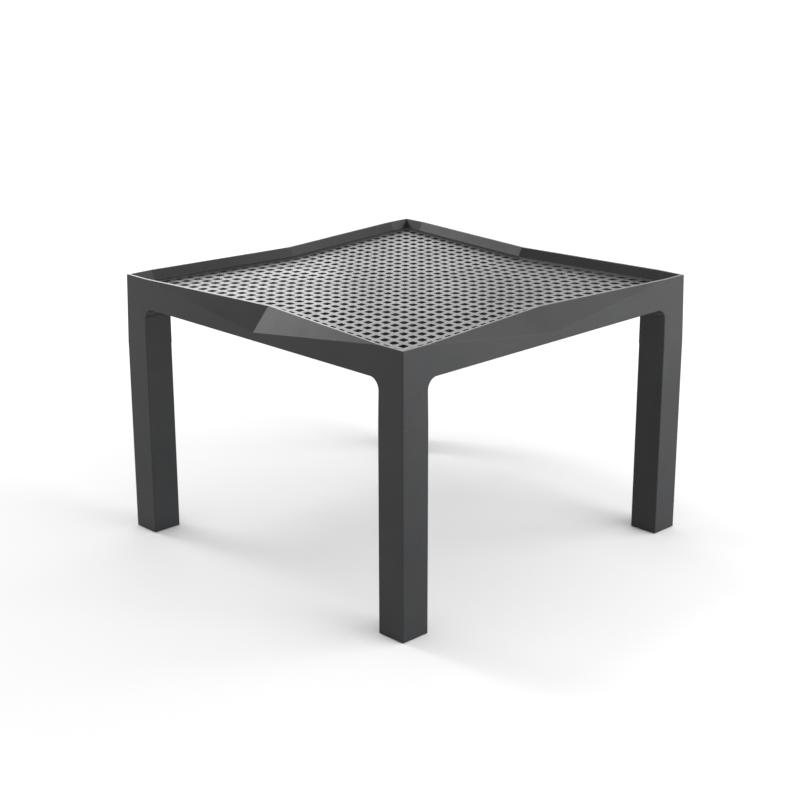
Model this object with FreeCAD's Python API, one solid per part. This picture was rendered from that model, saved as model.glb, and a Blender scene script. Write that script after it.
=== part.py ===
"""Low square garden table with a drop-in perforated grate.

Millimetres, +Z up. The origin is on the floor, under the middle of the table.
A side is drawn once, as the one that faces -Y, and turned in quarters for the other three.
"""
import FreeCAD, Part
import os
from math import atan, cos, degrees, radians, sin, tan

os.makedirs("parts", exist_ok=True)
V = FreeCAD.Vector

# Overall
height = 408.4            # floor to rim
seam_half = 300.0         # centre to outer face of the top moulding, at its lower edge
rim_half = 298.0          # the same at the rim: the moulding has draft
seam_z = 301.3            # where the legs plug in
apron_bottom_z = 362.8
edge_radius = 1.5         # on the outer edges of the apron and the legs
wall = 3.5

# Rim: straight near the corners, then bowed inward to the middle of each side
rim_bow = 28.2
rim_straight = 44.0       # corner to the first bend
rim_width = 4.5           # flat on top of the rim
rim_edge_radius = 0.9
rim_edge_steps = 4        # flats in the rounding of the inner edge
crease_z = 375.3          # where the crease down the middle of each side ends
facet_setback = 2.5       # down and inward from a facet to the hollow behind it

# Tray inside the rim
grate_z = 394.7           # top of the grate
foot_inset = 12.0         # rim outline to the foot of the sloping tray wall
ledge_inset = 20.0        # rim outline to the free edge of the ledge
pad_height = 0.8
ledge_thickness = 3.5

# Legs
leg_width = 47.4
leg_inset = 0.1           # leg face behind the face of the moulding above it
leg_root_radius = 16.5
leg_wall = 4.0
seam_gap = 0.15
socket_inset = 4.8        # outer face to socket wall, at the seam
socket_size = 38.0
socket_top_z = 373.0      # the spigot stops against the socket roof
spigot_clearance = 0.3

# Foot caps
cap_lip = 1.0             # how far the cap stands out below the leg
cap_inset = 2.0           # leg face to the edge of the cap
cap_plug_height = 22.0
cap_chamfer = 0.4
press_fit = 0.05          # left on each side of a tight joint

# Leg screws
screw_diameter = 6.0
screw_length = 24.0
screw_head_diameter = 12.0
screw_head_height = 3.2
screw_head_chamfer = 0.6
screw_clearance = 0.3     # shank to bore in the frame, on each side
screw_drive_size = 4.0
screw_drive_depth = 2.0
screw_access_diameter = 18.0
boss_diameter = 13.0
boss_height = 34.0
boss_floor = 2.0          # left below the screw's bore

# Grate
grate_thickness = 6.0
grate_clearance = 0.6
hole_rows = 28
hole_share = 0.6          # side of a hole over the spacing of the holes there
field_middle = 245.4      # half-width of the hole field at the middle of a side
field_corner = 279.0      # the same at a corner
rib_depth = 7.0
rib_thickness = 2.6
rib_every = 4             # rows of holes between ribs
rib_reach = 0.7           # rows from the last one to where the ribs end, inside the ring rib
ring_inset = 21.0         # rim outline to the outer face of the ring rib

# Stiffening ribs inside the apron
gusset_thickness = 2.6
gusset_spacing = 76.0
gusset_count = 5
gusset_bottom_z = 366.0

# Grate pads
pad_length = 16.0
pad_width = 5.0
pad_from_middle = 214.0

overrun = 1.0             # how far a cutting shape runs past what it cuts

bend = atan(rim_bow / (rim_half - rim_straight))
ledge_z = grate_z - grate_thickness - pad_height
ledge_bottom_z = ledge_z - ledge_thickness
leg_half = seam_half - leg_inset
leg_middle = seam_half - socket_inset - socket_size / 2
socket_low = seam_half - socket_inset - socket_size
window_half = seam_half - leg_width


def turn(x, y, quarter):
    """Turn a point about the table's middle by quarter turns."""
    for _ in range(quarter):
        x, y = -y, x
    return x, y


def turned(shape, quarter):
    """A copy of a shape turned about the table's middle by quarter turns."""
    copy = shape.copy()
    copy.rotate(V(0, 0, 0), V(0, 0, 1), 90 * quarter)
    return copy


def square(half):
    """The corners of a centred square."""
    return [turn(half, -half, quarter) for quarter in range(4)]


def outline(inset):
    """The corners of the rim's outline, moved inward by inset."""
    straight = rim_half - inset
    middle = rim_half - rim_bow - inset / cos(bend)
    kink = rim_half - rim_straight + inset * tan(bend / 2)
    side = [(-kink, -straight), (0, -middle), (kink, -straight), (straight, -straight)]
    return [turn(x, y, quarter) for quarter in range(4) for x, y in side]


def polygon_face(points):
    """A flat face from 3-D points."""
    return Part.Face(Part.makePolygon(points + [points[0]]))


def closed_solid(faces):
    """A solid from flat faces that meet edge to edge and face outward."""
    return Part.makeSolid(Part.makeShell(faces))


def solid_between(low, low_z, high, high_z):
    """A solid with flat sides between two outlines of as many corners."""
    bottom = [V(x, y, low_z) for x, y in low]
    top = [V(x, y, high_z) for x, y in high]
    faces = [polygon_face(bottom[::-1]), polygon_face(top)]
    for i in range(len(bottom)):
        j = (i + 1) % len(bottom)
        faces.append(polygon_face([bottom[i], bottom[j], top[j], top[i]]))
    return closed_solid(faces)


def upright(points, low_z, high_z):
    """An upright prism on an outline."""
    face = polygon_face([V(x, y, low_z) for x, y in points])
    return face.extrude(V(0, 0, high_z - low_z))


def box(low, high):
    """A box from its lowest to its highest corner."""
    size = [high[i] - low[i] for i in range(3)]
    return Part.makeBox(size[0], size[1], size[2], V(*low))


def outer_half_at(z):
    """Centre to outer face of the top moulding at a height."""
    return seam_half + (rim_half - seam_half) * (z - seam_z) / (height - seam_z)


def outer_block(inset, low_z, high_z):
    """The moulding's drafted block, with its faces moved inward by inset."""
    low = square(outer_half_at(low_z) - inset)
    high = square(outer_half_at(high_z) - inset)
    return solid_between(low, low_z, high, high_z)


def rim_notch(shift):
    """What the two slanted facets of the front side take off the block, moved down and inward by shift."""
    kink = rim_half - rim_straight
    left = V(-kink, -rim_half, height)
    right = V(kink, -rim_half, height)
    middle = V(0, rim_bow - rim_half, height)
    crease_end = V(0, -outer_half_at(crease_z), crease_z)
    notch = closed_solid([
        polygon_face([left, right, middle]),
        polygon_face([left, crease_end, right]),
        polygon_face([left, middle, crease_end]),
        polygon_face([right, crease_end, middle]),
    ])
    notch.translate(V(0, shift, -shift))
    return notch


def window():
    """The gap between two legs, cut through the whole table along Y."""
    reach = seam_half + overrun
    prism = box((-window_half, -reach, seam_z - overrun), (window_half, reach, apron_bottom_z))
    roof_edges = []
    for edge in prism.Edges:
        ends = [v.Point for v in edge.Vertexes]
        along_y = abs(ends[0].y - ends[1].y) > seam_half
        if along_y and ends[0].z > seam_z:
            roof_edges.append(edge)
    return prism.makeFillet(leg_root_radius, roof_edges)


def window_edges(shape):
    """The edges around the gaps between the legs, on the outer faces of the moulding."""
    found = []
    for edge in shape.Edges:
        ends = [v.Point for v in edge.Vertexes]
        outside = all(max(abs(p.x), abs(p.y)) > rim_half for p in ends)
        on_window = all(min(abs(p.x), abs(p.y)) < window_half + overrun for p in ends)
        above_seam = max(p.z for p in ends) > seam_z + overrun
        below_apron = max(p.z for p in ends) < apron_bottom_z + overrun
        if outside and on_window and above_seam and below_apron:
            found.append(edge)
    return found


def upright_edges(shape, distance):
    """The near-vertical edges of a block that stand out from its middle by a distance or more."""
    found = []
    for edge in shape.Edges:
        a, b = [v.Point for v in edge.Vertexes]
        rises = abs(a.z - b.z) > abs(a.x - b.x) + abs(a.y - b.y)
        if rises and min(abs(a.x), abs(a.y)) > distance:
            found.append(edge)
    return found


def gussets():
    """Upright ribs between the front apron and the ledge."""
    plates = []
    for i in range(gusset_count):
        x = (i - (gusset_count - 1) / 2) * gusset_spacing
        low = (x - gusset_thickness / 2, -seam_half, gusset_bottom_z)
        high = (x + gusset_thickness / 2, -seam_half / 2, height)
        plates.append(box(low, high))
    plates = Part.makeCompound(plates)
    return plates.cut(upright(outline(ledge_inset), gusset_bottom_z - overrun, height + overrun))


def corner_box(low_xy, high_xy, low_z, high_z):
    """A box standing at the corner between the front and the right side."""
    return box((low_xy, -high_xy, low_z), (high_xy, -low_xy, high_z))


def tray_profile():
    """Inset and height of the tray wall, from its foot to its rounded edge on top of the rim."""
    lean = atan((foot_inset - rim_width) / (height - grate_z))
    turned_by = radians(90) - lean
    arc_start = rim_width - rim_edge_radius * tan(turned_by / 2)
    arc_base = height - rim_edge_radius
    profile = [(foot_inset, grate_z)]
    for step in range(rim_edge_steps, -1, -1):
        angle = turned_by * step / rim_edge_steps
        profile.append((arc_start + rim_edge_radius * sin(angle), arc_base + rim_edge_radius * cos(angle)))
    profile.append((arc_start, height + overrun))
    return profile


def make_block():
    """The top moulding from outside: the faceted block with its rounded rim, and the tray sunk into it."""
    block = outer_block(0, seam_z, height)
    block = block.makeFillet(edge_radius, upright_edges(block, rim_half - overrun))
    for quarter in range(4):
        block = block.cut(turned(rim_notch(0), quarter))
    rim_edges = [edge for edge in block.Edges if edge.BoundBox.ZMin > height - rim_edge_radius / 2]
    block = block.makeFillet(rim_edge_radius, rim_edges)
    profile = tray_profile()
    for (low_inset, low_z), (high_inset, high_z) in zip(profile, profile[1:]):
        block = block.cut(solid_between(outline(low_inset), low_z, outline(high_inset), high_z))
    return block


def make_top_frame():
    """Rim, apron, tray ledge and leg sockets: one hollow moulding, open below."""
    frame = make_block()
    for quarter in range(2):
        frame = frame.cut(turned(window(), quarter))
    frame = frame.makeFillet(edge_radius, window_edges(frame))
    seat = upright(outline(foot_inset), ledge_z, grate_z)
    opening = upright(outline(ledge_inset), apron_bottom_z, ledge_z)
    for space in (seat, opening):
        frame = frame.cut(space)

    lining = solid_between(outline(foot_inset - wall), ledge_bottom_z, outline(rim_width - wall), height)
    hollow = outer_block(wall, apron_bottom_z, height - wall)
    hollow = hollow.cut(lining)
    for quarter in range(4):
        hollow = hollow.cut(turned(rim_notch(facet_setback), quarter))
        hollow = hollow.cut(turned(gussets(), quarter))
        socket_walls = corner_box(window_half, seam_half, apron_bottom_z - overrun, height)
        hollow = hollow.cut(turned(socket_walls, quarter))
    frame = frame.cut(hollow)

    socket_high = socket_low + socket_size
    for quarter in range(4):
        socket = corner_box(socket_low, socket_high, seam_z - overrun, socket_top_z)
        pocket = corner_box(socket_low, socket_high, socket_top_z + wall, ledge_bottom_z)
        centre = V(leg_middle, -leg_middle, 0)
        bore = Part.makeCylinder(screw_diameter / 2 + screw_clearance, height, centre)
        access = Part.makeCylinder(screw_access_diameter / 2, height, centre + V(0, 0, socket_top_z + wall))
        for space in (socket, pocket, bore, access):
            frame = frame.cut(turned(space, quarter))
    return frame.removeSplitter()


def grid_point(u, v):
    """A place on the grate, counted in rows of holes from its middle.

    Rows are straight within each quarter of the grate and bend on its centre lines, so that the
    outermost rows run along the bowed rim."""
    rows = hole_rows / 2
    spread = (field_corner - field_middle) * abs(u * v) / rows ** 2
    x = field_middle * abs(u) / rows + spread
    y = field_middle * abs(v) / rows + spread
    return (x if u >= 0 else -x), (y if v >= 0 else -y)


def hole_wire(u, v, z):
    """The outline of one hole, whose sides run with the rows around it."""
    half = hole_share / 2
    corners = []
    for du, dv in ((-half, -half), (half, -half), (half, half), (-half, half)):
        x, y = grid_point(u + du, v + dv)
        corners.append(V(x, y, z))
    return Part.makePolygon(corners + [corners[0]])


def rib(start, end, low_z, high_z):
    """An upright rib between two places on the grate."""
    a = V(start[0], start[1], low_z)
    b = V(end[0], end[1], low_z)
    half = (b - a).normalize().cross(V(0, 0, 1)) * (rib_thickness / 2)
    return polygon_face([a - half, b - half, b + half, a + half]).extrude(V(0, 0, high_z - low_z))


def make_grate():
    """The perforated panel, with ribs below it between every few rows of holes."""
    low_z = grate_z - grate_thickness
    edge = [V(x, y, low_z) for x, y in outline(foot_inset + grate_clearance)]
    wires = [Part.makePolygon(edge + [edge[0]])]
    counts = [row + 0.5 - hole_rows / 2 for row in range(hole_rows)]
    for u in counts:
        for v in counts:
            wires.append(hole_wire(u, v, low_z))
    face = Part.Face(wires, "Part::FaceMakerBullseye")
    grate = face.extrude(V(0, 0, grate_thickness))

    rib_low = low_z - rib_depth
    ring_outer = upright(outline(ring_inset), rib_low, low_z)
    ring = ring_outer.cut(upright(outline(ring_inset + rib_thickness), rib_low, low_z))
    reach = hole_rows / 2 + rib_reach
    ribs = []
    lines = range(-(hole_rows // 2 - 2), hole_rows // 2, rib_every)
    for line in lines:
        for end in (-reach, reach):
            ribs.append(rib(grid_point(line, 0), grid_point(line, end), rib_low, low_z))
            ribs.append(rib(grid_point(0, line), grid_point(end, line), rib_low, low_z))
    ribs = ring.fuse(ribs).common(ring_outer)
    return grate.fuse(ribs).removeSplitter()


def make_leg():
    """The front right leg: a hollow square post with a spigot that plugs into the frame."""
    low = leg_half - leg_width
    shoulder_z = seam_z - seam_gap
    post = corner_box(low, leg_half, cap_lip, shoulder_z)
    post = post.makeFillet(edge_radius, upright_edges(post, 0))
    cavity_low = low + leg_wall
    cavity_high = leg_half - leg_wall
    post = post.cut(corner_box(cavity_low, cavity_high, cap_lip - overrun, shoulder_z - leg_wall))

    spigot_low = socket_low + spigot_clearance
    spigot_high = socket_low + socket_size - spigot_clearance
    spigot = corner_box(spigot_low, spigot_high, shoulder_z - leg_wall, socket_top_z)
    spigot = spigot.cut(corner_box(spigot_low + wall, spigot_high - wall, shoulder_z, socket_top_z - wall))
    boss_base = V(leg_middle, -leg_middle, socket_top_z - boss_height)
    boss = Part.makeCylinder(boss_diameter / 2, boss_height, boss_base)
    leg = post.fuse(spigot).fuse(boss)
    bore_base = boss_base + V(0, 0, boss_floor)
    bore = Part.makeCylinder(screw_diameter / 2 + press_fit, boss_height, bore_base)
    return leg.cut(bore).removeSplitter()


def make_foot_cap():
    """The front right foot: a thin sole that the leg stands on, and a plug inside the leg."""
    low = leg_half - leg_width
    sole = corner_box(low + cap_inset, leg_half - cap_inset, 0, cap_lip)
    sole_edges = [edge for edge in sole.Edges if edge.BoundBox.ZMax < cap_lip / 2]
    sole = sole.makeChamfer(cap_chamfer, sole_edges)
    plug_low = low + leg_wall + press_fit
    plug_high = leg_half - leg_wall - press_fit
    plug = corner_box(plug_low, plug_high, cap_lip, cap_plug_height)
    plug = plug.cut(corner_box(plug_low + wall, plug_high - wall, cap_lip, cap_plug_height + overrun))
    return sole.fuse(plug).removeSplitter()


def hexagon_prism(centre, low_z, length):
    """The space a hexagon key goes in."""
    radius = screw_drive_size / 2 / cos(radians(30))
    corners = []
    for i in range(6):
        angle = radians(60 * i)
        corners.append(centre + V(radius * cos(angle), radius * sin(angle), low_z))
    return polygon_face(corners).extrude(V(0, 0, length))


def make_screw():
    """The front right leg screw, which goes down through the frame into the leg."""
    seat_z = socket_top_z + wall
    centre = V(leg_middle, -leg_middle, 0)
    shank = Part.makeCylinder(screw_diameter / 2, screw_length, centre + V(0, 0, seat_z - screw_length))
    head = Part.makeCylinder(screw_head_diameter / 2, screw_head_height, centre + V(0, 0, seat_z))
    top_edges = [edge for edge in head.Edges if edge.BoundBox.ZMin > seat_z + screw_head_height / 2]
    head = head.makeChamfer(screw_head_chamfer, top_edges)
    drive = hexagon_prism(centre, seat_z + screw_head_height - screw_drive_depth, screw_head_height)
    return shank.fuse(head).cut(drive).removeSplitter()


def make_pad():
    """One soft pad on the front ledge, under the grate."""
    middle = rim_half - rim_bow - (foot_inset + ledge_inset) / 2 / cos(bend)
    pad = box((-pad_length / 2, -pad_width / 2, ledge_z), (pad_length / 2, pad_width / 2, ledge_z + pad_height))
    pad.rotate(V(0, 0, 0), V(0, 0, 1), -degrees(bend))
    pad.translate(V(pad_from_middle, -(middle + pad_from_middle * tan(bend)), 0))
    return pad


def save(name, shape):
    """Write one node, after checking that it is made of sound solids."""
    assert shape.isValid() and shape.Solids, name
    shape.exportStep(os.path.join("parts", name + ".step"))
    print(name, len(shape.Solids), "solid", len(shape.Faces), "faces", round(shape.Volume / 1000, 1), "cm3")


corners = ["front_right", "back_right", "back_left", "front_left"]
save("top_frame", make_top_frame())
save("grate", make_grate())
for quarter, corner in enumerate(corners):
    save("leg_" + corner, turned(make_leg(), quarter))
    save("foot_cap_" + corner, turned(make_foot_cap(), quarter))
    save("grate_pad_" + corner, turned(make_pad(), quarter))
save("leg_screws", Part.makeCompound([turned(make_screw(), quarter) for quarter in range(4)]))
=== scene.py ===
"""Looks of the low garden table: softened moulded parts, a detailed grate, studio light and camera.

Everything is in metres, in the frame of the CAD model: +Z up, origin on the floor under the table.
"""
import math

import bmesh
import bpy
from mathutils import Matrix, Vector


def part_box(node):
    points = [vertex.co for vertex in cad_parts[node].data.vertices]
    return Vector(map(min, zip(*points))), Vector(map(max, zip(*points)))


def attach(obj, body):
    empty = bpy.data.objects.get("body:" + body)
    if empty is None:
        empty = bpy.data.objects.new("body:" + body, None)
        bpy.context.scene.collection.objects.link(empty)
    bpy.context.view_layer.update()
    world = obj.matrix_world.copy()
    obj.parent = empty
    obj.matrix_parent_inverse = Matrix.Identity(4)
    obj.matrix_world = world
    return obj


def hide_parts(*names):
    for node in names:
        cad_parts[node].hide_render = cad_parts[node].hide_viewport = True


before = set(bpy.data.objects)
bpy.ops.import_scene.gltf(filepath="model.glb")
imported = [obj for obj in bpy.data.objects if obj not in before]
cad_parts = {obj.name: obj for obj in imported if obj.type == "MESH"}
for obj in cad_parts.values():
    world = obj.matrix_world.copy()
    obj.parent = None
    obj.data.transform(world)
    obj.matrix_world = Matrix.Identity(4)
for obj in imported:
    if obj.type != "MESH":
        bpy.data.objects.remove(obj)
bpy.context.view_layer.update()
mm = 0.001

# The camera's place in metres, its angles in degrees and its focal length on a 36 mm wide sensor
camera_place = (1.7558, -1.7348, 0.9994)
camera_azimuth = 45.525
camera_elevation = 17.754
camera_roll = -0.069
camera_lens = 75.4
sensor_width = 36.0
nearest_seen = 0.05
farthest_seen = 200.0

# The floor, which glows a little more far from the table, so that it fades to white
floor_half = 30.0
floor_grey = 0.72
glow_start = 0.8
glow_end = 2.6
floor_glow_near = 0.02
floor_glow_far = 0.34

# The studio: a pale room, and soft boxes at one distance from a point in the table.
# Each box has an azimuth from +X towards +Y, an elevation, a width and a height, all in degrees,
# and a brightness per area.
room_light = 0.94
light_distance = 3.0
light_target_z = 0.35
soft_boxes = {
    "key_left": (199.5, 24, 18, 24, 3.1),
    "high_left": (195, 58, 20, 18, 12.0),
    "strip_back_left": (150, 13, 20, 18, 2.9),
    "strip_behind": (135.5, 13, 9, 18, 1.5),
    "strip_back_right": (121, 13, 20, 18, 0.95),
    "fill_right": (15, 7, 30, 12, 24.0),
    "fill_back_right": (45, 10, 30, 14, 7.0),
    "fill_high": (52, 34, 30, 24, 1.6),
}

# The rim's outline, which the grate follows
rim_half = 298.0 * mm
rim_bow = 28.2 * mm
rim_straight = 44.0 * mm
bend = math.atan(rim_bow / (rim_half - rim_straight))

# The grate; hole_share and hole_round are a hole's width and corner radius as shares of the pitch
grate_inset = 12.6 * mm
grate_thickness = 6.0 * mm
hole_rows = 28
hole_share = 0.6
hole_round = 0.13
hole_corner_steps = 3
hole_lip = 0.3 * mm
grate_lip = 0.7 * mm
lip_shoulder = 0.3
field_middle = 245.4 * mm
field_corner = 279.0 * mm
rib_depth = 7.0 * mm
rib_thickness = 2.6 * mm
rib_foot_half = 0.36 * rib_thickness
rib_overlap = 0.3 * mm
rib_reach = 0.55
rib_every = 4
ring_inset = 21.0 * mm

# Softened edges of the other mouldings; the shares are of soft_edge, and the angles are in degrees
soft_edge = 0.45 * mm
soft_edge_segments = 2
seam_edge_share = 0.2
crease_share = 0.3
soft_edge_angle = 24.0
crease_angle = 1.0
flat_angle = 0.3
crease_face_area = 400 * mm ** 2
weld_distance = 0.002 * mm


def turn(point, quarter):
    """Turn a 2-D point about the table's middle by quarter turns."""
    x, y = point
    for _ in range(quarter):
        x, y = -y, x
    return x, y


def side_outline(inset):
    """The rim's outline along the front side, moved inward: middle, bend and corner."""
    middle = rim_half - rim_bow - inset / math.cos(bend)
    kink = rim_half - rim_straight + inset * math.tan(bend / 2)
    straight = rim_half - inset
    return [(0.0, -middle), (kink, -straight), (straight, -straight)]


def grid_point(u, v):
    """A place on the grate, counted in rows of holes from its middle."""
    rows = hole_rows / 2
    spread = (field_corner - field_middle) * abs(u * v) / rows ** 2
    x = math.copysign(field_middle * abs(u) / rows + spread, u)
    y = math.copysign(field_middle * abs(v) / rows + spread, v)
    return x, y


def new_object(name, mesh, body):
    """Put a mesh in the scene as a piece that rides on a body."""
    piece = bpy.data.objects.new(name, mesh)
    bpy.context.scene.collection.objects.link(piece)
    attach(piece, body)
    return piece


def hole_outline(u, v, grow):
    """A hole's rounded outline, its half-size grown by a length, as four runs of points."""
    pitch = field_middle / (hole_rows / 2)
    half = hole_share / 2 + grow / pitch
    radius = hole_round
    runs = []
    for quarter, (su, sv) in enumerate(((1, -1), (1, 1), (-1, 1), (-1, -1))):
        centre_u = su * (half - radius)
        centre_v = sv * (half - radius)
        start = math.radians(-90 + 90 * quarter)
        run = []
        for step in range(hole_corner_steps + 1):
            angle = start + math.radians(90) * step / hole_corner_steps
            du = centre_u + radius * math.cos(angle)
            dv = centre_v + radius * math.sin(angle)
            run.append(grid_point(u + du, v + dv))
        runs.append(run)
    return runs


def ring_of_vertices(bm, runs, z):
    """Vertices along a hole's outline at one height."""
    return [[bm.verts.new((x, y, z)) for x, y in run] for run in runs]


def bridge(bm, upper, lower, look=0):
    """Quads between two rings of a hole, facing into the hole, with one of the grate's two materials: 0 the
    plain resin, 1 the darker, duller hole walls that carry painted shade.
    """
    top = [v for run in upper for v in run]
    bottom = [v for run in lower for v in run]
    for i in range(len(top)):
        j = (i + 1) % len(top)
        face = bm.faces.new((top[i], top[j], bottom[j], bottom[i]))
        face.material_index = look


def add_hole(bm, corners, low_corners, u, v, top_z, low_z):
    """One cell of the grate: its hole, the rounded lip, and the flat bars around it."""
    lip = ring_of_vertices(bm, hole_outline(u, v, hole_lip), top_z)
    step = hole_lip * lip_shoulder
    shoulder = ring_of_vertices(bm, hole_outline(u, v, step), top_z - step)
    throat = ring_of_vertices(bm, hole_outline(u, v, 0), top_z - hole_lip)
    foot = ring_of_vertices(bm, hole_outline(u, v, 0), low_z)
    bridge(bm, lip, shoulder)
    bridge(bm, shoulder, throat)
    # The hole walls below the lip get the darker, duller material: painted shade in the holes
    bridge(bm, throat, foot, 1)
    for ring, cell, facing_up in ((lip, corners, True), (foot, low_corners, False)):
        for side in range(4):
            ahead = (side + 1) % 4
            middle = len(ring[side]) // 2
            points = [cell[side], cell[ahead]]
            points += list(reversed(ring[ahead][:middle]))
            points += list(reversed(ring[side][middle - 1:]))
            bm.faces.new(points if facing_up else points[::-1])


def build_grate_plate(bm, top_z, low_z):
    """The perforated plate with its plain border."""
    rows = range(-(hole_rows // 2), hole_rows // 2 + 1)
    upper, lower = {}, {}
    for i in rows:
        for j in rows:
            x, y = grid_point(i, j)
            upper[i, j] = bm.verts.new((x, y, top_z))
            lower[i, j] = bm.verts.new((x, y, low_z))
    for i in rows[:-1]:
        for j in rows[:-1]:
            around = [(i, j), (i + 1, j), (i + 1, j + 1), (i, j + 1)]
            # a hole's runs start at its front right corner
            order = [around[1], around[2], around[3], around[0]]
            add_hole(
                bm,
                [upper[k] for k in order],
                [lower[k] for k in order],
                i + 0.5, j + 0.5, top_z, low_z,
            )
    build_grate_border(bm, upper, lower, top_z, low_z)


def build_grate_border(bm, upper, lower, top_z, low_z):
    """The plain band between the field of holes and the grate's rounded outer edge."""
    half = hole_rows // 2
    levels = [
        (grate_inset + grate_lip, top_z),
        (grate_inset + grate_lip * lip_shoulder, top_z - grate_lip * lip_shoulder),
        (grate_inset, top_z - grate_lip),
        (grate_inset, low_z),
    ]
    rings = []
    for inset, z in levels:
        middle, kink, corner = side_outline(inset)
        ring = []
        for quarter in range(4):
            mirrored = (-kink[0], kink[1])
            for point in (mirrored, middle, kink, corner):
                x, y = turn(point, quarter)
                ring.append(bm.verts.new((x, y, z)))
        rings.append(ring)
    count = len(rings[0])
    for outer, inner in zip(rings[1:], rings[:-1]):
        for i in range(count):
            j = (i + 1) % count
            bm.faces.new((inner[j], inner[i], outer[i], outer[j]))

    def field_edge(quarter, start, stop):
        """Lattice keys along the front edge of the field, turned to a side."""
        step = 1 if stop > start else -1
        keys = []
        for i in range(start, stop + step, step):
            x, y = turn((i, -half), quarter)
            keys.append((round(x), round(y)))
        return keys

    for ring, lattice, facing_up in ((rings[0], upper, True), (rings[-1], lower, False)):
        for quarter in range(4):
            first = quarter * 4
            last_corner = ring[first - 1]
            left = [last_corner, ring[first], ring[first + 1]]
            right = [ring[first + 1], ring[first + 2], ring[first + 3]]
            halves = (
                left + [lattice[k] for k in field_edge(quarter, 0, -half)],
                right + [lattice[k] for k in field_edge(quarter, half, 0)],
            )
            for points in halves:
                bm.faces.new(points if facing_up else points[::-1])


def add_rib(bm, start, end, top_z, low_z):
    """A rib under the grate between two places, narrower at its foot."""
    a, b = Vector(start), Vector(end)
    along = (b - a).normalized()
    across = Vector((-along.y, along.x))
    rings = []
    for z, half in ((top_z, rib_thickness / 2), (low_z, rib_foot_half)):
        ring = []
        for place, side in ((a, -1), (b, -1), (b, 1), (a, 1)):
            at = place + across * half * side
            ring.append(bm.verts.new((at.x, at.y, z)))
        rings.append(ring)
    top, bottom = rings
    bm.faces.new(top)
    bm.faces.new(bottom[::-1])
    for i in range(4):
        j = (i + 1) % 4
        bm.faces.new((top[j], top[i], bottom[i], bottom[j]))


def build_grate_ribs(bm, plate_low_z):
    """The ribs under the grate: a ring below the border and lines between the holes."""
    top_z = plate_low_z + rib_overlap
    low_z = plate_low_z - rib_depth
    reach = hole_rows / 2 + rib_reach
    for line in range(-(hole_rows // 2 - 2), hole_rows // 2, rib_every):
        for end in (-reach, reach):
            add_rib(bm, grid_point(line, 0), grid_point(line, end), top_z, low_z)
            add_rib(bm, grid_point(0, line), grid_point(end, line), top_z, low_z)
    ring_middle = ring_inset + rib_thickness / 2
    for quarter in range(4):
        middle, kink, corner = side_outline(ring_middle)
        left_kink = (-kink[0], kink[1])
        left_corner = (-corner[0], corner[1])
        route = [turn(p, quarter) for p in (left_corner, left_kink, middle, kink, corner)]
        for start, end in zip(route, route[1:]):
            add_rib(bm, start, end, top_z, low_z)


def make_grate():
    """The whole grate as one detailed mesh in place of the plain CAD panel."""
    top_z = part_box("grate")[1].z
    plate_low_z = top_z - grate_thickness
    bm = bmesh.new()
    build_grate_plate(bm, top_z, plate_low_z)
    build_grate_ribs(bm, plate_low_z)
    for face in bm.faces:
        face.smooth = True
    bm.normal_update()
    mesh = bpy.data.meshes.new("grate_panel")
    bm.to_mesh(mesh)
    bm.free()
    piece = new_object("grate_panel", mesh, "grate")
    flat_normals(piece)
    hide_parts("grate")
    return piece


def soften(node, body):
    """A copy of a CAD moulding with its sharp edges rounded, shown in its place."""
    bm = bmesh.new()
    bm.from_mesh(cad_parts[node].data)
    bmesh.ops.remove_doubles(bm, verts=bm.verts, dist=weld_distance)
    bmesh.ops.dissolve_limit(
        bm, angle_limit=math.radians(flat_angle), verts=bm.verts, edges=bm.edges, delimit={"NORMAL"}
    )
    for face in bm.faces:
        face.smooth = True
    softness = bm.edges.layers.float.new("bevel_weight_edge")
    seam_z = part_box("top_frame")[0].z
    for edge in bm.edges:
        if is_sharp(edge):
            at_seam = all(abs(v.co.z - seam_z) < soft_edge for v in edge.verts)
            edge[softness] = seam_edge_share if at_seam else 1.0
        elif is_crease(edge):
            edge[softness] = crease_share
    mesh = bpy.data.meshes.new(node + "_soft")
    bm.to_mesh(mesh)
    bm.free()
    piece = new_object(node + "_soft", mesh, body)
    bevel = piece.modifiers.new("soft edges", "BEVEL")
    bevel.limit_method = "WEIGHT"
    bevel.width = soft_edge
    bevel.segments = soft_edge_segments
    flat_normals(piece)
    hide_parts(node)
    return piece


def is_sharp(edge):
    """Whether an edge stands out enough to be rounded."""
    return len(edge.link_faces) == 2 and edge.calc_face_angle() > math.radians(soft_edge_angle)


def is_crease(edge):
    """Whether an edge is a crisp fold between two broad flat faces, and not a step of a curved one."""
    if len(edge.link_faces) != 2:
        return False
    broad = min(face.calc_area() for face in edge.link_faces) > crease_face_area
    return broad and math.radians(crease_angle) < edge.calc_face_angle() < math.radians(soft_edge_angle)


def flat_normals(piece):
    """Keep broad faces flat, so that shading turns only over the rounded edges."""
    weighted = piece.modifiers.new("flat faces", "WEIGHTED_NORMAL")
    weighted.mode = "FACE_AREA"
    weighted.weight = 100


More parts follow.
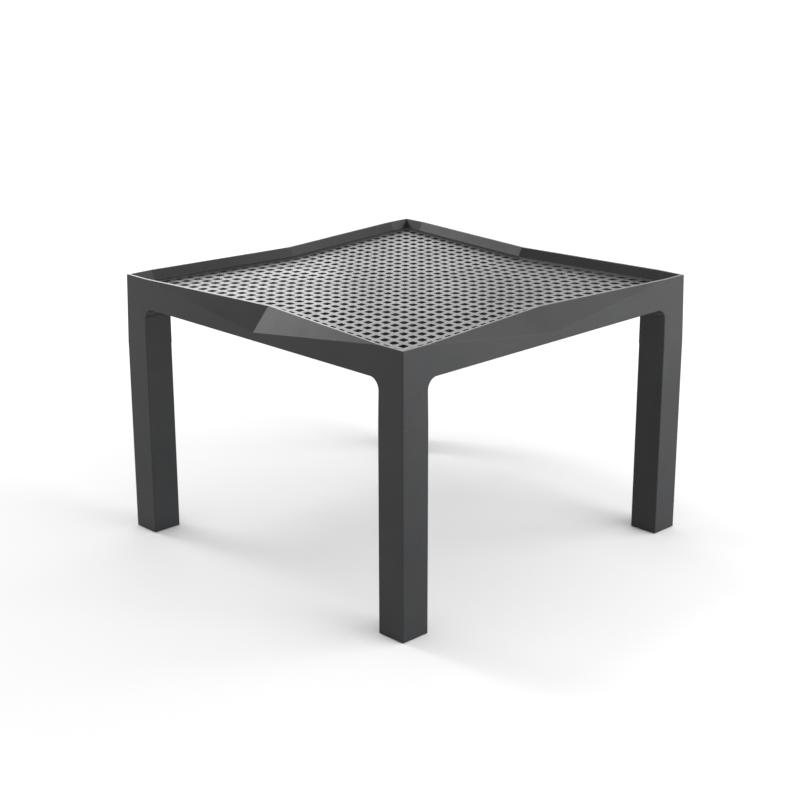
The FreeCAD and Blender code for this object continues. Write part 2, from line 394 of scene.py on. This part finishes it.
class Nodes:
    """A short way to write a material's nodes."""

    def __init__(self, name):
        self.material = bpy.data.materials.new(name)
        self.material.use_nodes = True
        self.tree = self.material.node_tree
        self.shader = self.tree.nodes["Principled BSDF"]

    def add(self, kind, **settings):
        """A node with its properties and inputs set by name; a socket as value makes a link."""
        node = self.tree.nodes.new(kind)
        for key, value in settings.items():
            if hasattr(node, key):
                setattr(node, key, value)
            else:
                self.put(node.inputs[key.replace("_", " ")], value)
        return node

    def put(self, socket, value):
        """Set or link an input."""
        if isinstance(value, bpy.types.NodeSocket):
            self.tree.links.new(value, socket)
        else:
            socket.default_value = value

    def coordinates(self):
        """A place on the piece, in metres."""
        return self.add("ShaderNodeTexCoord").outputs["Object"]

    def noise(self, scale, detail=3.0, roughness=0.5, vector=None):
        """Noise from 0 to 1 at a scale per metre."""
        node = self.add("ShaderNodeTexNoise", Scale=scale, Detail=detail, Roughness=roughness)
        self.put(node.inputs["Vector"], vector or self.coordinates())
        return node.outputs["Fac"]

    def spread(self, value, low, high, to_low, to_high):
        """Map a range of a value to another, clamped."""
        node = self.add("ShaderNodeMapRange")
        for key, item in (
            ("Value", value), ("From Min", low), ("From Max", high),
            ("To Min", to_low), ("To Max", to_high),
        ):
            self.put(node.inputs[key], item)
        return node.outputs["Result"]

    def maths(self, operation, a, b):
        """Arithmetic on two values."""
        node = self.add("ShaderNodeMath", operation=operation)
        self.put(node.inputs[0], a)
        self.put(node.inputs[1], b)
        return node.outputs[0]

    def mix(self, factor, a, b):
        """A colour between two others."""
        node = self.add("ShaderNodeMix", data_type="RGBA")
        self.put(node.inputs["Factor"], factor)
        for name, value in (("A", a), ("B", b)):
            socket = [s for s in node.inputs if s.name == name and s.type == "RGBA"][0]
            self.put(socket, value)
        return [s for s in node.outputs if s.type == "RGBA"][0]

    def bump(self, height, strength, distance, normal=None):
        """A normal tilted by a height, on top of another bump if one is given."""
        node = self.add("ShaderNodeBump", Height=height, Strength=strength, Distance=distance)
        if normal:
            self.put(node.inputs["Normal"], normal)
        return node.outputs["Normal"]

    def edge_mask(self, radius):
        """1 on edges that stand out, 0 on flat faces."""
        bevel = self.add("ShaderNodeBevel", samples=4, Radius=radius)
        plain = self.add("ShaderNodeNewGeometry").outputs["Normal"]
        dot = self.add("ShaderNodeVectorMath", operation="DOT_PRODUCT")
        self.put(dot.inputs[0], bevel.outputs["Normal"])
        self.put(dot.inputs[1], plain)
        return self.spread(dot.outputs["Value"], 0.995, 0.90, 0.0, 1.0)


def moulded_resin(name, dark, light, edge_highlight_colour, rough_low, rough_high, gloss):
    """Dark moulded resin: fine grain with pits, a faint mottle and waviness, and edges painted lighter and
    made a little smoother: a painted highlight along the edges.
    """
    m = Nodes(name)
    place = m.coordinates()
    mottle = m.noise(9.0, 4.0, 0.55, place)
    speckle = m.noise(1600.0, 2.0, 0.6, place)
    grain = m.noise(1150.0, 3.0, 0.55, place)
    pits = m.add("ShaderNodeTexVoronoi", Scale=820.0, Vector=place).outputs["Distance"]
    tone = m.maths("ADD", m.maths("MULTIPLY", mottle, 0.65), m.maths("MULTIPLY", speckle, 0.35))
    base = m.mix(m.spread(tone, 0.35, 0.65, 0.0, 1.0), dark, light)
    # Edges are painted lighter, broken up by noise: a painted highlight along the edges
    highlight_breakup = m.spread(m.noise(38.0, 4.0, 0.6, place), 0.4, 0.7, 0.1, 1.0)
    painted_edge_highlight = m.maths("MULTIPLY", m.edge_mask(1.2 * mm), highlight_breakup)
    m.put(m.shader.inputs["Base Color"], m.mix(painted_edge_highlight, base, edge_highlight_colour))
    rough = m.spread(m.noise(24.0, 3.0, 0.6, place), 0.3, 0.7, rough_low, rough_high)
    smoother = m.maths("MULTIPLY", painted_edge_highlight, 0.08)
    m.put(m.shader.inputs["Roughness"], m.maths("SUBTRACT", rough, smoother))
    m.shader.inputs["IOR"].default_value = 1.4
    m.shader.inputs["Specular IOR Level"].default_value = gloss
    height = m.maths("ADD", m.maths("MULTIPLY", grain, 0.7), m.maths("MULTIPLY", pits, 0.5))
    fine = m.bump(height, 0.25, 0.06 * mm)
    wave = m.noise(5.0, 2.0, 0.4, place)
    m.put(m.shader.inputs["Normal"], m.bump(wave, 0.12, 0.6 * mm, fine))
    return m.material


def foot_plastic():
    """Smooth black glide plastic, scuffed underneath."""
    m = Nodes("foot_plastic")
    place = m.coordinates()
    scuff = m.noise(260.0, 5.0, 0.7, place)
    base = m.mix(m.spread(scuff, 0.45, 0.7, 0.0, 1.0), (0.022, 0.022, 0.024, 1), (0.06, 0.06, 0.06, 1))
    m.put(m.shader.inputs["Base Color"], base)
    m.put(m.shader.inputs["Roughness"], m.spread(scuff, 0.3, 0.7, 0.38, 0.6))
    m.put(m.shader.inputs["Normal"], m.bump(m.noise(900.0, 3.0, 0.5, place), 0.25, 0.05 * mm))
    return m.material


def pad_rubber():
    """Soft matt rubber."""
    m = Nodes("pad_rubber")
    place = m.coordinates()
    dust = m.noise(420.0, 4.0, 0.65, place)
    base = m.mix(m.spread(dust, 0.4, 0.75, 0.0, 1.0), (0.014, 0.014, 0.014, 1), (0.05, 0.049, 0.047, 1))
    m.put(m.shader.inputs["Base Color"], base)
    m.put(m.shader.inputs["Roughness"], m.spread(dust, 0.3, 0.7, 0.72, 0.92))
    m.put(m.shader.inputs["Normal"], m.bump(dust, 0.4, 0.08 * mm))
    return m.material


def screw_steel():
    """Zinc-plated steel with fine marks and small stains."""
    m = Nodes("screw_steel")
    place = m.coordinates()
    stain = m.noise(300.0, 4.0, 0.6, place)
    base = m.mix(m.spread(stain, 0.4, 0.7, 0.0, 1.0), (0.58, 0.58, 0.56, 1), (0.40, 0.38, 0.34, 1))
    m.put(m.shader.inputs["Base Color"], base)
    m.shader.inputs["Metallic"].default_value = 1.0
    m.put(m.shader.inputs["Roughness"], m.spread(stain, 0.3, 0.7, 0.28, 0.5))
    m.put(m.shader.inputs["Normal"], m.bump(m.noise(1800.0, 2.0, 0.5, place), 0.2, 0.03 * mm))
    return m.material


def paint(piece, *looks):
    """Give a piece its materials, in place of any it has."""
    piece.data.materials.clear()
    for look in looks:
        piece.data.materials.append(look)


def floor_material():
    """Pale seamless paper that glows more with distance from the table."""
    m = Nodes("studio_floor")
    m.shader.inputs["Base Color"].default_value = (floor_grey, floor_grey, floor_grey, 1)
    m.shader.inputs["Roughness"].default_value = 0.85
    m.shader.inputs["Specular IOR Level"].default_value = 0.1
    m.shader.inputs["Emission Color"].default_value = (1, 1, 1, 1)
    distance = m.add("ShaderNodeVectorMath", operation="LENGTH")
    m.put(distance.inputs[0], m.coordinates())
    glow = m.spread(distance.outputs["Value"], glow_start, glow_end, floor_glow_near, floor_glow_far)
    m.put(m.shader.inputs["Emission Strength"], glow)
    return m.material


def make_floor():
    """A plain pale floor, wide enough to fill every view."""
    bm = bmesh.new()
    signs = ((-1, -1), (1, -1), (1, 1), (-1, 1))
    bm.faces.new([bm.verts.new((x * floor_half, y * floor_half, 0)) for x, y in signs])
    mesh = bpy.data.meshes.new("studio_floor")
    bm.to_mesh(mesh)
    bm.free()
    floor = bpy.data.objects.new("studio_floor", mesh)
    bpy.context.scene.collection.objects.link(floor)
    floor.data.materials.append(floor_material())


def soft_box(name, azimuth, elevation, width_angle, height_angle, radiance):
    """A soft box facing the table, placed and sized by angles in degrees, with a brightness per area."""
    azimuth, elevation = math.radians(azimuth), math.radians(elevation)
    towards = Vector((
        math.cos(azimuth) * math.cos(elevation),
        math.sin(azimuth) * math.cos(elevation),
        math.sin(elevation),
    ))
    light = bpy.data.lights.new(name, "AREA")
    light.shape = "RECTANGLE"
    light.size = 2 * light_distance * math.tan(math.radians(width_angle / 2)) * math.cos(elevation)
    light.size_y = 2 * light_distance * math.tan(math.radians(height_angle / 2))
    light.energy = radiance * math.pi * light.size * light.size_y
    lamp = bpy.data.objects.new(name, light)
    lamp.location = Vector((0, 0, light_target_z)) + towards * light_distance
    lamp.rotation_mode = "QUATERNION"
    lamp.rotation_quaternion = (-towards).to_track_quat("-Z", "Y")
    lamp.visible_camera = False
    bpy.context.scene.collection.objects.link(lamp)


def make_lights():
    """A key and a higher box on the left, a graded strip behind, and fills on the right, in a pale room."""
    for name, settings in soft_boxes.items():
        soft_box(name, *settings)
    world = bpy.data.worlds.new("studio")
    bpy.context.scene.world = world
    world.use_nodes = True
    background = world.node_tree.nodes["Background"]
    background.inputs["Color"].default_value = (1, 1, 1, 1)
    background.inputs["Strength"].default_value = room_light


def make_camera():
    """The camera, level but for a hair of roll."""
    azimuth = math.radians(camera_azimuth)
    elevation = math.radians(camera_elevation)
    back = Vector((
        math.sin(azimuth) * math.cos(elevation),
        -math.cos(azimuth) * math.cos(elevation),
        math.sin(elevation),
    ))
    right = Vector((math.cos(azimuth), math.sin(azimuth), 0))
    up = back.cross(right)
    turned = Matrix((right, up, back)).transposed() @ Matrix.Rotation(math.radians(camera_roll), 3, "Z")
    data = bpy.data.cameras.new("camera")
    data.lens = camera_lens
    data.sensor_width = sensor_width
    data.clip_start = nearest_seen
    data.clip_end = farthest_seen
    camera = bpy.data.objects.new("camera", data)
    camera.matrix_world = Matrix.Translation(camera_place) @ turned.to_4x4()
    bpy.context.scene.collection.objects.link(camera)
    bpy.context.scene.camera = camera


def node_group(prefix):
    """The CAD nodes whose names start with a prefix."""
    return [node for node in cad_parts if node.startswith(prefix)]


frame_look = moulded_resin(
    "frame_resin",
    dark=(0.0145, 0.015, 0.016, 1), light=(0.020, 0.0205, 0.0215, 1), edge_highlight_colour=(0.05, 0.05, 0.052, 1),
    rough_low=0.20, rough_high=0.26, gloss=0.35,
)
# The grate: a lighter, glossier copy of the frame's resin, a painted sheen for the upward-facing grate
grate_painted_sheen_look = moulded_resin(
    "grate_resin",
    dark=(0.019, 0.0195, 0.0205, 1), light=(0.027, 0.0275, 0.029, 1), edge_highlight_colour=(0.06, 0.06, 0.062, 1),
    rough_low=0.25, rough_high=0.31, gloss=0.52,
)
# The hole walls: a darker, duller copy of the resin, painted shade standing in for the shade deep in the
# holes
hole_walls_painted_shade = moulded_resin(
    "grate_hole_walls_painted_shade",
    dark=(0.006, 0.006, 0.0065, 1), light=(0.009, 0.009, 0.0095, 1), edge_highlight_colour=(0.03, 0.03, 0.031, 1),
    rough_low=0.6, rough_high=0.7, gloss=0.06,
)

grate = make_grate()
paint(grate, grate_painted_sheen_look, hole_walls_painted_shade)
for node in ["top_frame"] + node_group("leg_front") + node_group("leg_back"):
    paint(soften(node, "table"), frame_look)
small_parts = (("foot_cap", foot_plastic()), ("grate_pad", pad_rubber()), ("leg_screws", screw_steel()))
for prefix, look in small_parts:
    for node in node_group(prefix):
        paint(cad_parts[node], look)

make_floor()
make_lights()
make_camera()
bpy.context.scene.view_settings.view_transform = "Standard"
